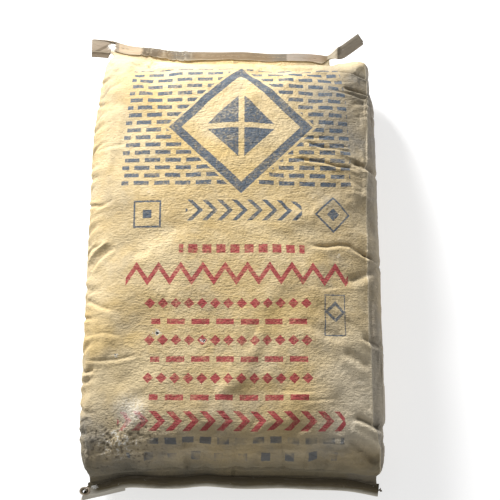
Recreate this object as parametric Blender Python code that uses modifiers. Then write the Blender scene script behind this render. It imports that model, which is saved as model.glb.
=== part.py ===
"""A filled cement bag, lying on its back with the printed face up.

The bag is a sleeve of paper-faced woven plastic, filled with cement and sewn shut at both ends. Each end
is pressed flat, bound with a tape folded over its edge, and sewn through. At the head's right corner the
sleeve is tucked in as a filling valve, so the sewn end stops short of it and the tape's tail turns up.

Metres. +Z is up, +Y runs from the foot of the bag to its head, and +X is to the reader's right.
The origin is on the floor, under the middle of the bag.
"""

import math

import bmesh
import bpy
from mathutils import Vector

# The filled bag
HALF_WIDTH = 0.2065
THICKNESS = 0.135
SIDE_FULLNESS = 1.007  # the cage stands this much outside the rounded sides that it makes
SIDE_TOP = 0.76  # heights of the cage's upper face, as shares of the thickness
NEAR_SIDE_TOP = 0.94
HEAD_END_TOP = 0.70
FOOT_END_TOP = 0.84
SHOULDER_TOP = 0.98
SIDE_LIFT = 0.022  # how far the cage's underside curls up at the sides and at the ends
END_LIFT = 0.012

# Broad hollows of the slack fabric in the upper face: x and y of the middle, both half sizes, and the depth
HOLLOWS = (
    (-0.150, 0.215, 0.100, 0.085, 0.0080),  # the head's left corner
    (-0.020, 0.215, 0.070, 0.050, 0.0040),  # under the middle of the head
    (0.150, 0.200, 0.095, 0.100, 0.0090),  # below the valve corner
    (0.150, 0.035, 0.060, 0.060, 0.0060),  # two along the right edge, with a ridge between them
    (0.150, -0.085, 0.055, 0.060, 0.0065),
    (0.140, -0.205, 0.105, 0.090, 0.0085),  # the foot's right corner
    (-0.140, -0.215, 0.125, 0.080, 0.0085),  # the foot's left corner
)
HOLLOW_FLOOR = 0.55  # a hollow starts at this share of the thickness and is full after its fade
HOLLOW_FADE = 0.25

# The sewn ends, where the sleeve is pressed flat
SEWN_THICKNESS = 0.002
SEWN_DEPTH = 0.0185
FOOT_HANG = 0.36  # the foot's sewn end slopes down by this share of its reach
HEAD_SEAM_Z = 0.050
HEAD_SEAM_LEFT = -0.192
HEAD_SEAM_RIGHT = 0.146
FOOT_SEAM_Z = 0.044
FOOT_HALF_SEAM = 0.196

# The valve corner, at the right of the head
VALVE_Y = 0.305
VALVE_TOP = 0.082
VALVE_BOTTOM = 0.020
VALVE_INSET = 0.004
VALVE_FULLNESS = 0.008

# The binding tapes
HEAD_EDGE_Y = 0.3255
HEAD_SLANT = 0.035  # the head's edge climbs to the left at this rate, and then by its rise as well
HEAD_SLANT_START = 0.080
HEAD_RISE = 0.014
HEAD_RISE_START = -0.090
HEAD_RISE_END = -0.190
FOOT_EDGE_Y = -0.3260
FOOT_DROP = 0.010
BEND_START = 0.18  # the ends follow the curved edges from here out, fully after the bend's length
BEND_LENGTH = 0.10
TAPE_DEPTH = 0.018
TAPE_WALL = 0.0009
CLEARANCE = 0.0004
FOLD_SLACK = 0.001  # between the sewn end's tip and the inside of the tape's fold
TAPE_STEP = 0.012
HEAD_TAPE_LEFT = -0.222
HEAD_TAPE_TURN = 0.132  # where the tape leaves the sewn end and its tail turns up
FOOT_TAPE_LEFT = -0.206
FOOT_TAPE_RIGHT = 0.199
TAIL_ANGLE = math.radians(34)
TAIL_LENGTH = 0.046
TAIL_BEND = 0.024
TAIL_BEND_STEPS = 3

# The sewing threads
THREAD_RADIUS = 0.0006
THREAD_INSET = 0.008
THREAD_OVERRUN = 0.003

KRAFT_YELLOW = (0.64, 0.50, 0.28, 1.0)
TAPE_BROWN = (0.42, 0.33, 0.23, 1.0)
THREAD_TAN = (0.60, 0.52, 0.40, 1.0)

# Worked out from the values above
TAPE_HALF_GAP = SEWN_THICKNESS / 2 + CLEARANCE
TAPE_FOLD_REACH = TAPE_HALF_GAP + TAPE_WALL
ROOT_INSET = TAPE_FOLD_REACH + FOLD_SLACK + SEWN_DEPTH
HEAD_ROOT_Y = HEAD_EDGE_Y - ROOT_INSET
FOOT_ROOT_Y = FOOT_EDGE_Y + ROOT_INSET
THREAD_HEIGHT = TAPE_FOLD_REACH + CLEARANCE + THREAD_RADIUS

# The cage's lines across and along the bag, as shares of half its width and half its length
COLUMNS = (-0.86, -0.62, -0.20, 0.25, 0.70, 0.86)
SEAM_END_COLUMN = 0.70
NEAR_SIDE_COLUMN = 0.86
ROWS = (-0.93, -0.78, -0.60, -0.30, 0.0, 0.30, 0.60, 0.78, 0.93)
END_ROW = 0.93
SHOULDER_ROW = 0.78
ROUNDING = 0.001  # how far a cut may lie from its line and still count as on it
SHARP_ANGLE = math.radians(50)


def clear_scene():
    for thing in list(bpy.data.objects):
        bpy.data.objects.remove(thing, do_unlink=True)


def make_material(name, colour, roughness):
    material = bpy.data.materials.new(name)
    material.use_nodes = True
    shader = material.node_tree.nodes["Principled BSDF"]
    shader.inputs["Base Color"].default_value = colour
    shader.inputs["Roughness"].default_value = roughness
    shader.inputs["Metallic"].default_value = 0.0
    return material


def link_new(name, data, collection, material):
    thing = bpy.data.objects.new(name, data)
    collection.objects.link(thing)
    data.materials.append(material)
    return thing


def head_rise(x):
    """How much further out the head's edge lies at x than at its right: it climbs to the left corner."""
    share = (HEAD_RISE_START - x) / (HEAD_RISE_START - HEAD_RISE_END)
    return HEAD_SLANT * max(HEAD_SLANT_START - x, 0.0) + HEAD_RISE * min(max(share, 0.0), 1.0) ** 2


def foot_drop(x):
    """How much further out the foot's edge lies at x than at its middle: both corners hang back."""
    return FOOT_DROP * min(abs(x) / FOOT_HALF_SEAM, 1.0) ** 4


def cage_point(u, v, w):
    """Where a corner of the even box from -1 to 1 goes in the cage of the filled bag."""
    top = w > 0
    if v > 1.0 - ROUNDING:
        if u > SEAM_END_COLUMN + ROUNDING:
            beyond = (u - SEAM_END_COLUMN) / (1.0 - SEAM_END_COLUMN)
            x = HEAD_SEAM_RIGHT + beyond * (HALF_WIDTH - VALVE_INSET - HEAD_SEAM_RIGHT)
            return Vector((x, VALVE_Y, VALVE_TOP if top else VALVE_BOTTOM))
        along = (u + 1.0) / (SEAM_END_COLUMN + 1.0)
        x = HEAD_SEAM_LEFT + along * (HEAD_SEAM_RIGHT - HEAD_SEAM_LEFT)
        return Vector((x, HEAD_ROOT_Y, HEAD_SEAM_Z + w * SEWN_THICKNESS / 2))
    if v < ROUNDING - 1.0:
        return Vector((u * FOOT_HALF_SEAM, FOOT_ROOT_Y, FOOT_SEAM_Z + w * SEWN_THICKNESS / 2))

    at_end = abs(v) > END_ROW - ROUNDING
    at_shoulder = abs(v) > SHOULDER_ROW - ROUNDING
    at_side = abs(u) > 1.0 - ROUNDING
    near_side = abs(u) > NEAR_SIDE_COLUMN - ROUNDING
    valve_corner = v > END_ROW - ROUNDING and u > SEAM_END_COLUMN + ROUNDING
    x = u * HALF_WIDTH * SIDE_FULLNESS
    y = v * (HEAD_ROOT_Y if v > 0 else -FOOT_ROOT_Y)
    if top:
        height = SHOULDER_TOP if at_shoulder else 1.0
        if at_end:
            height = HEAD_END_TOP if v > 0 else FOOT_END_TOP
        if at_side:
            height *= SIDE_TOP
        elif near_side:
            height *= NEAR_SIDE_TOP
        z = THICKNESS * height
        if valve_corner:
            z += VALVE_FULLNESS
    else:
        z = END_LIFT if at_end else 0.0
        if at_side:
            z += SIDE_LIFT
    return Vector((x, y, z))


def press_sewn_end(cage, end, crease):
    """Draw the flat sewn end out of the box's end faces, and keep its edges sharp."""
    flat = []
    for face in cage.faces:
        if all(corner.co.y * end > 1.0 - ROUNDING for corner in face.verts):
            if end < 0 or all(corner.co.x < SEAM_END_COLUMN + ROUNDING for corner in face.verts):
                flat.append(face)
    root = {corner for face in flat for corner in face.verts}
    made = bmesh.ops.extrude_face_region(cage, geom=flat)["geom"]
    bmesh.ops.delete(cage, geom=flat, context="FACES_ONLY")
    tip = {item for item in made if isinstance(item, bmesh.types.BMVert)}
    for corner in tip:
        corner.co.y += end
    for edge in cage.edges:
        first, second = edge.verts
        in_row = (first in root and second in root) or (first in tip and second in tip)
        ends = {min(corner.co.x for corner in tip), max(corner.co.x for corner in tip)}
        at_corner = first.co.x in ends and second.co.x in ends
        between = (first in root and second in tip) or (first in tip and second in root)
        if in_row and (first.co.z == second.co.z or at_corner):
            edge[crease] = 1.0
        if between and at_corner:
            edge[crease] = 1.0
    return tip


def make_cage():
    """The bag's coarse cage: a box, cut along its columns and rows, and moved to shape."""
    cage = bmesh.new()
    bmesh.ops.create_cube(cage, size=2.0)
    for axis, stations in ((0, COLUMNS), (1, ROWS)):
        normal = Vector((0.0, 0.0, 0.0))
        normal[axis] = 1.0
        for station in stations:
            everything = cage.verts[:] + cage.edges[:] + cage.faces[:]
            bmesh.ops.bisect_plane(cage, geom=everything, plane_co=normal * station, plane_no=normal)
    crease = cage.edges.layers.float.new("crease_edge")
    tips = press_sewn_end(cage, 1, crease) | press_sewn_end(cage, -1, crease)
    for corner in cage.verts:
        u, v, w = corner.co
        corner.co = cage_point(u, v, w)
        if corner in tips:
            corner.co.y += math.copysign(SEWN_DEPTH, v)
    return cage


def sink_hollows(point):
    """Lower the upper face where the fabric hangs slack between the sewn ends and the full middle."""
    upper = min(max((point.z / THICKNESS - HOLLOW_FLOOR) / HOLLOW_FADE, 0.0), 1.0)
    for x, y, half_across, half_along, depth in HOLLOWS:
        far = ((point.x - x) / half_across) ** 2 + ((point.y - y) / half_along) ** 2
        point.z -= depth * upper * max(1.0 - far, 0.0) ** 2


def bend_ends(point):
    """Carry the ends out to the curved lines of the tapes' edges, and let the foot's sewn end hang."""
    reach = min(max((abs(point.y) - BEND_START) / BEND_LENGTH, 0.0), 1.0)
    share = reach * reach * (3.0 - 2.0 * reach)
    point.z -= FOOT_HANG * max(FOOT_ROOT_Y - point.y, 0.0)
    if point.y > 0:
        point.y += head_rise(point.x) * share
    else:
        point.y -= foot_drop(point.x) * share


def make_sack(collection, material):
    cage = make_cage()
    cage_mesh = bpy.data.meshes.new("sack_cage")
    cage.to_mesh(cage_mesh)
    cage.free()
    guide = bpy.data.objects.new("sack_cage", cage_mesh)
    collection.objects.link(guide)
    rounding = guide.modifiers.new("rounding", "SUBSURF")
    rounding.levels = 2
    rounding.render_levels = 2
    evaluated = guide.evaluated_get(bpy.context.evaluated_depsgraph_get())
    mesh = bpy.data.meshes.new_from_object(evaluated)
    bpy.data.objects.remove(guide, do_unlink=True)
    mesh.name = "sack"
    for corner in mesh.vertices:
        sink_hollows(corner.co)
        bend_ends(corner.co)
    mesh.shade_smooth()
    mesh.set_sharp_from_angle(angle=SHARP_ANGLE)
    return link_new("sack", mesh, collection, material)


def head_fold_path():
    """The head tape's fold in plan: along the sewn end, then up its turned tail."""
    points = []
    count = math.ceil((HEAD_TAPE_TURN - HEAD_TAPE_LEFT) / TAPE_STEP)
    for step in range(count + 1):
        x = HEAD_TAPE_LEFT + (HEAD_TAPE_TURN - HEAD_TAPE_LEFT) * step / count
        points.append(Vector((x, HEAD_EDGE_Y - TAPE_FOLD_REACH + head_rise(x), 0.0)))
    here = points[-1]
    for step in range(1, TAIL_BEND_STEPS + 1):
        angle = TAIL_ANGLE * step / TAIL_BEND_STEPS
        here = here + Vector((math.cos(angle), math.sin(angle), 0.0)) * TAIL_BEND / TAIL_BEND_STEPS
        points.append(here)
    points.append(here + Vector((math.cos(TAIL_ANGLE), math.sin(TAIL_ANGLE), 0.0)) * TAIL_LENGTH)
    return points


def foot_fold_path():
    """The foot tape's fold in plan, from right to left, so that the bag lies on the path's right too."""
    points = []
    count = math.ceil((FOOT_TAPE_RIGHT - FOOT_TAPE_LEFT) / TAPE_STEP)
    for step in range(count + 1):
        x = FOOT_TAPE_RIGHT - (FOOT_TAPE_RIGHT - FOOT_TAPE_LEFT) * step / count
        points.append(Vector((x, FOOT_EDGE_Y + TAPE_FOLD_REACH - foot_drop(x), 0.0)))
    return points


def inward_sides(path):
    """For each point of the path, the direction across the tape towards the bag, on the path's right.

    At a bend it is lengthened, so that the tape keeps its width on both sides."""
    sides = []
    for index, point in enumerate(path):
        before = (point - path[max(index - 1, 0)]).normalized()
        after = (path[min(index + 1, len(path) - 1)] - point).normalized()
        heading = (before + after).normalized()
        run = before if before.length else after
        sides.append(Vector((heading.y, -heading.x, 0.0)) / max(heading.dot(run), 0.5))
    return sides


def make_tape(name, path, seam_z, hang, collection, material):
    """A strip folded in half over a sewn end: its open section, drawn along the path and thickened."""
    reach = TAPE_DEPTH - TAPE_FOLD_REACH
    lean = math.hypot(1.0, hang)
    section = []
    for across, up in ((reach, TAPE_HALF_GAP), (0.0, TAPE_HALF_GAP), (-TAPE_HALF_GAP, 0.0),
                       (0.0, -TAPE_HALF_GAP), (reach, -TAPE_HALF_GAP)):
        section.append((across, up * lean - hang * (ROOT_INSET - TAPE_FOLD_REACH - across)))
    sides = inward_sides(path)
    strip = bmesh.new()
    row = []
    for across, up in section:
        row.append(strip.verts.new(path[0] + sides[0] * across + Vector((0.0, 0.0, seam_z + up))))
    edges = [strip.edges.new(pair) for pair in zip(row, row[1:])]
    for point, side in zip(path[1:], sides[1:]):
        made = bmesh.ops.extrude_edge_only(strip, edges=edges)["geom"]
        edges = [item for item in made if isinstance(item, bmesh.types.BMEdge)]
        previous, row = row, []
        for corner in previous:
            moved = next(edge.other_vert(corner) for edge in corner.link_edges
                         if edge.other_vert(corner) in made)
            row.append(moved)
        for corner, (across, up) in zip(row, section):
            corner.co = point + side * across + Vector((0.0, 0.0, seam_z + up))
    strip.normal_update()
    highest = max(strip.faces, key=lambda face: face.calc_center_median().z)
    if highest.normal.z < 0:
        bmesh.ops.reverse_faces(strip, faces=strip.faces[:])
    mesh = bpy.data.meshes.new(name)
    strip.to_mesh(mesh)
    strip.free()
    tape = link_new(name, mesh, collection, material)
    wall = tape.modifiers.new("wall", "SOLIDIFY")
    wall.thickness = TAPE_WALL
    wall.offset = 1.0
    wall.use_even_offset = True
    return tape


def make_stitching(name, edge_y, inward, start, end, seam_z, hang, collection, material):
    """The sewing thread: along the tape's front to past its end, round it, and back along its rear."""
    middle = seam_z - hang * (ROOT_INSET - THREAD_INSET)
    height = THREAD_HEIGHT * math.hypot(1.0, hang)
    past = end + math.copysign(THREAD_OVERRUN, end - start)
    count = math.ceil(abs(past - start) / TAPE_STEP)
    front = []
    for step in range(count + 1):
        x = start + (past - start) * step / count
        front.append(Vector((x, edge_y(x) + THREAD_INSET * inward, middle + height)))
    back = [Vector((point.x, point.y, middle - height)) for point in reversed(front)]
    route = front + back
    curve = bpy.data.curves.new(name, "CURVE")
    curve.dimensions = "3D"
    curve.bevel_depth = THREAD_RADIUS
    curve.bevel_resolution = 1
    curve.use_fill_caps = True
    spline = curve.splines.new("POLY")
    spline.points.add(len(route) - 1)
    for knot, point in zip(spline.points, route):
        knot.co = (point.x, point.y, point.z, 1.0)
    return link_new(name, curve, collection, material)


def main():
    clear_scene()
    bag = bpy.data.collections.new("cement_bag")
    bpy.context.scene.collection.children.link(bag)
    kraft = make_material("kraft_weave", KRAFT_YELLOW, 0.85)
    crepe = make_material("crepe_tape", TAPE_BROWN, 0.85)
    thread = make_material("sewing_thread", THREAD_TAN, 0.75)

    make_sack(bag, kraft)
    make_tape("head_tape", head_fold_path(), HEAD_SEAM_Z, 0.0, bag, crepe)
    make_tape("foot_tape", foot_fold_path(), FOOT_SEAM_Z, FOOT_HANG, bag, crepe)
    make_stitching("head_stitching", lambda x: HEAD_EDGE_Y + head_rise(x), -1.0,
                   HEAD_TAPE_TURN, HEAD_TAPE_LEFT, HEAD_SEAM_Z, 0.0, bag, thread)
    make_stitching("foot_stitching", lambda x: FOOT_EDGE_Y - foot_drop(x), 1.0,
                   FOOT_TAPE_LEFT, FOOT_TAPE_RIGHT, FOOT_SEAM_Z, FOOT_HANG, bag, thread)


main()
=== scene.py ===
import math
from functools import reduce

import bpy
import numpy as np
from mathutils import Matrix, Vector, noise


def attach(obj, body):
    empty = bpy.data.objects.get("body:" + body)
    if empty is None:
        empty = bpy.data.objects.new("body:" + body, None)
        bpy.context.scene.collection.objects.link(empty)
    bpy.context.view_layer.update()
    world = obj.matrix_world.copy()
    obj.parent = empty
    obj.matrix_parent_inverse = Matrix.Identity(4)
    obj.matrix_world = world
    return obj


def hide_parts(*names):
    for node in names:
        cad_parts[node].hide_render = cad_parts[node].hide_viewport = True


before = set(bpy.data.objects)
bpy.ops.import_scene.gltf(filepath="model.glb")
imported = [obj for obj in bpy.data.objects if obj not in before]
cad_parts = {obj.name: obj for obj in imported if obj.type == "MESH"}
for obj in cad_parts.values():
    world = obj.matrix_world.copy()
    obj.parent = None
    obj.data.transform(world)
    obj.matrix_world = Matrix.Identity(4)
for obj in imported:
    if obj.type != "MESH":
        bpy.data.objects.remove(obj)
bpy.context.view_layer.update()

# The sewn ends in plan and height, as the solids have them
HEAD_EDGE_Y = 0.3255
HEAD_SLANT = 0.035
HEAD_SLANT_START = 0.080
HEAD_RISE = 0.014
HEAD_RISE_START = -0.090
HEAD_RISE_END = -0.190
FOOT_EDGE_Y = -0.3260
FOOT_DROP = 0.010
FOOT_HALF_SEAM = 0.196
HEAD_SEAM_RIGHT = 0.146
HEAD_SEAM_Z = 0.050
FOOT_SEAM_Z = 0.044
FOOT_HANG = 0.36  # the foot's sewn end slopes down by this share of its reach
ROOT_INSET = 0.0218  # from the tape's outer edge in to where the filled part begins

# The binding tapes
TAPE_WALL = 0.0009
TAPE_MIDDLE = 0.00185  # from the seam's middle to the middle of the tape's wall
TAPE_DEPTH = 0.018
TAPE_STEP = 0.0026
HEAD_TAPE_LEFT = -0.222
HEAD_TAPE_TURN = 0.132
FOOT_TAPE_LEFT = -0.204
FOOT_TAPE_RIGHT = 0.199
TAIL_ANGLE = math.radians(34)
TAIL_LENGTH = 0.0435
TAIL_BEND = 0.024
PINCH_X = 0.1426  # where the head tape is gathered, just before its tail
CURL_X, CURL_Y = -0.2025, -0.3292  # the rolled-up end of the foot's tape, and its wall
CURL_WALL = 0.0018
STUB_ROW = 0.034  # where the stub and the curl lie on the tape's map, past its free edge
CURL_ROW = 0.054

# The sewing threads
THREAD_RADIUS = 0.00055
THREAD_INSET = 0.008
STITCH = 0.0078
STITCH_PARTS = 10
FRAYS = 6

# The filled sleeve
HALF_WIDTH = 0.2065
THICKNESS = 0.135
VOXEL = 0.0056
SEAM_SWELL = 3.6  # the sewn ends are this much thicker while the skin is remeshed
CLOTH = dict(quality=6, mass=0.3, tension_stiffness=40, compression_stiffness=40, shear_stiffness=20,
             bending_stiffness=0.15, air_damping=2.0, use_pressure=True, uniform_pressure_force=0.6,
             vertex_group_mass="held", vertex_group_shrink="taut", shrink_min=-0.036, shrink_max=0.0)
FRAMES = 22
SWELL_KEPT = 0.15  # the share of the broad swelling that stays; the folds stay whole
SWELL_ROUNDS = 90
MOST_OUT = 0.0015
MOST_IN = 0.0035


def smooth(low, high, value):
    share = np.clip((value - low) / (high - low), 0.0, 1.0)
    return share * share * (3.0 - 2.0 * share)


def bell(away, width):
    """1 on a line, falling softly to 0 within about two widths of it."""
    return np.exp(-(away / width) ** 2)


def head_edge_y(x):
    share = (HEAD_RISE_START - x) / (HEAD_RISE_START - HEAD_RISE_END)
    slant = HEAD_SLANT * np.maximum(HEAD_SLANT_START - x, 0.0)
    return HEAD_EDGE_Y + slant + HEAD_RISE * np.clip(share, 0.0, 1.0) ** 2


def foot_edge_y(x):
    return FOOT_EDGE_Y - FOOT_DROP * np.clip(np.abs(x) / FOOT_HALF_SEAM, 0.0, 1.0) ** 4


def drawn_foot(x):
    """How far the foot's sewn end is drawn in towards the bag, where its tape has shrunk."""
    return 0.0028 * bell(x + 0.043, 0.026) + 0.0045 * bell(x + 0.146, 0.026)


def sewn_foot_y(x):
    return foot_edge_y(x) + drawn_foot(x)


def foot_height(y, x):
    """The height of the foot's sewn end, before its waves."""
    return FOOT_SEAM_Z - FOOT_HANG * np.maximum(foot_edge_y(x) + ROOT_INSET - y, 0.0)


def head_wave(x):
    """How far the head's sewn end stands above its mean height at x."""
    return 0.0022 * np.sin(x * 21.0 + 0.6) + 0.0012 * np.sin(x * 57.0 + 2.0)


def foot_wave(x):
    return 0.0020 * np.sin(x * 18.0 + 2.4) + 0.0012 * np.sin(x * 49.0)


def add_object(name, data):
    added = bpy.data.objects.new(name, data)
    bpy.context.scene.collection.objects.link(added)
    return added


def make_active(thing):
    bpy.ops.object.select_all(action="DESELECT")
    thing.select_set(True)
    bpy.context.view_layer.objects.active = thing


def edit_all(operator, **settings):
    """Run a mesh operator on the whole of the active object."""
    bpy.ops.object.mode_set(mode="EDIT")
    bpy.ops.mesh.select_all(action="SELECT")
    operator(**settings)
    bpy.ops.object.mode_set(mode="OBJECT")


def read_rows(items, key):
    """The three numbers that each vertex or face has under this key, as rows."""
    flat = np.empty(len(items) * 3)
    items.foreach_get(key, flat)
    return flat.reshape(-1, 3)


def places(mesh):
    return read_rows(mesh.vertices, "co")


def put_places(mesh, points):
    mesh.vertices.foreach_set("co", points.ravel())
    mesh.update()


def lay_map(mesh, name, first, second):
    """Lay two numbers for each vertex as the mesh's UV map, under this name."""
    layer = mesh.uv_layers.active or mesh.uv_layers.new()
    layer.name = name
    corners = np.empty(len(mesh.loops), dtype=np.int64)
    mesh.loops.foreach_get("vertex_index", corners)
    layer.data.foreach_set("uv", np.stack([first, second], axis=1)[corners].ravel())


def noise_at(points, scale, seed=0.0, octaves=1):
    """Smooth noise from about -1 to 1 at each point, with this many lumps for each metre."""
    scaled = points * np.asarray(scale) + seed
    if octaves == 1:
        return np.array([noise.noise(Vector(p)) for p in scaled])
    return np.array([noise.fractal(Vector(p), 0.9, 2.1, octaves) for p in scaled])


def seam_share(points):
    """How much each point belongs to a sewn end: 0 in the filled part, 1 in the flat end."""
    x, y, _ = points.T
    head = smooth(-0.006, 0.001, y - (head_edge_y(x) - ROOT_INSET)) * (x < HEAD_SEAM_RIGHT + 0.006)
    foot = smooth(-0.006, 0.001, (foot_edge_y(x) + ROOT_INSET) - y)
    return head, foot


def swell_seams(points, factor):
    head, foot = seam_share(points)
    x, y, _ = points.T
    for share, height in ((head, HEAD_SEAM_Z), (foot, foot_height(y, x))):
        points[:, 2] = height + (points[:, 2] - height) * (1.0 + (factor - 1.0) * share)


def copy_solid(node, name):
    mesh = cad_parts[node].data.copy()
    mesh.materials.clear()
    copied = add_object(name, mesh)
    make_active(copied)
    edit_all(bpy.ops.mesh.remove_doubles, threshold=0.00002)
    return copied


def lay_sleeve_map(mesh):
    """A map that follows the sleeve round the bag, in metres: across from the face's middle, and along."""
    x, y, z = places(mesh).T
    corner = THICKNESS / 2
    flat = HALF_WIDTH - corner
    beyond = np.maximum(np.abs(x) - flat, 0.0)
    angle = np.arctan2(beyond, z - corner)
    turned = np.where(np.abs(x) > flat, flat + corner * angle, np.abs(x))
    under = 2 * flat + math.pi * corner - np.abs(x)
    across = np.where((np.abs(x) <= flat) & (z < corner), under, turned) * np.sign(x)
    lay_map(mesh, "sleeve", across, y)


def make_sack():
    sack = copy_solid("sack", "filled_sack")
    points = places(sack.data)
    swell_seams(points, SEAM_SWELL)
    put_places(sack.data, points)
    sack.data.remesh_voxel_size = VOXEL
    sack.data.remesh_voxel_adaptivity = 0.0
    bpy.ops.object.voxel_remesh()
    points = places(sack.data)
    swell_seams(points, 1.0 / SEAM_SWELL)
    put_places(sack.data, points)
    lay_sleeve_map(sack.data)
    fill_sack(sack)
    rounding = sack.modifiers.new("rounding", "SUBSURF")
    rounding.levels = 1
    rounding.render_levels = 1
    make_active(sack)
    bpy.ops.object.modifier_apply(modifier="rounding")
    fine_mesh(sack.data)
    press_folds(sack.data)
    bpy.ops.object.shade_smooth()
    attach(sack, "root")
    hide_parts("sack")
    return sack


def broad_part(mesh, values):
    """The values at the mesh's points, averaged over their neighbours again and again."""
    edges = np.empty(len(mesh.edges) * 2, dtype=np.int64)
    mesh.edges.foreach_get("vertices", edges)
    first, second = edges.reshape(-1, 2).T
    count = len(mesh.vertices)
    share = 1.0 / (1.0 + np.bincount(edges, minlength=count))
    for _ in range(SWELL_ROUNDS):
        sums = [values[:, axis] + np.bincount(first, values[second, axis], count)
                + np.bincount(second, values[first, axis], count) for axis in range(3)]
        values = np.stack(sums, axis=1) * share[:, None]
    return values


def fill_sack(sack):
    """Let the slack of the sleeve buckle against the cement inside it."""
    before = places(sack.data)
    out = read_rows(sack.data.vertices, "normal")
    head, foot = seam_share(before)
    x, y, z = before.T
    side = smooth(0.10, 0.20, np.abs(x))
    end = smooth(0.20, 0.30, np.abs(y))
    patch = 0.5 + 0.5 * noise_at(before, 9.0, 3.1)
    slack = np.clip(0.20 + 0.55 * np.maximum(side, end) + 0.35 * patch, 0.0, 1.0)
    slack *= 1.0 - 0.45 * smooth(-0.08, -0.18, x) * smooth(-0.24, -0.18, y)
    slack *= smooth(0.0, 0.03, z) * 0.8 + 0.2
    held = sack.vertex_groups.new(name="held")
    taut = sack.vertex_groups.new(name="taut")
    for index, (pin, loose) in enumerate(zip(np.maximum(head, foot), slack)):
        held.add([index], float(pin), "REPLACE")
        taut.add([index], float(1.0 - loose), "REPLACE")
    cloth = sack.modifiers.new("filling", "CLOTH")
    for name, value in CLOTH.items():
        setattr(cloth.settings, name, value)
    cloth.settings.effector_weights.gravity = 0.0
    cloth.collision_settings.use_collision = False
    cloth.collision_settings.use_self_collision = False
    scene = bpy.context.scene
    for number in range(1, FRAMES + 1):
        scene.frame_set(number)
    make_active(sack)
    bpy.ops.object.modifier_apply(modifier="filling")
    scene.frame_set(1)
    sack.vertex_groups.clear()
    after = places(sack.data)
    moved = after - before
    moved -= (1.0 - SWELL_KEPT) * broad_part(sack.data, moved)
    swell = (moved * out).sum(axis=1)
    most = np.where(swell > 0.0, MOST_OUT, MOST_IN)
    after = before + moved + out * (most * np.tanh(swell / most) - swell)[:, None]
    after[:, 2] = np.maximum(after[:, 2], LEAST_Z)
    put_places(sack.data, after)


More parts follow.
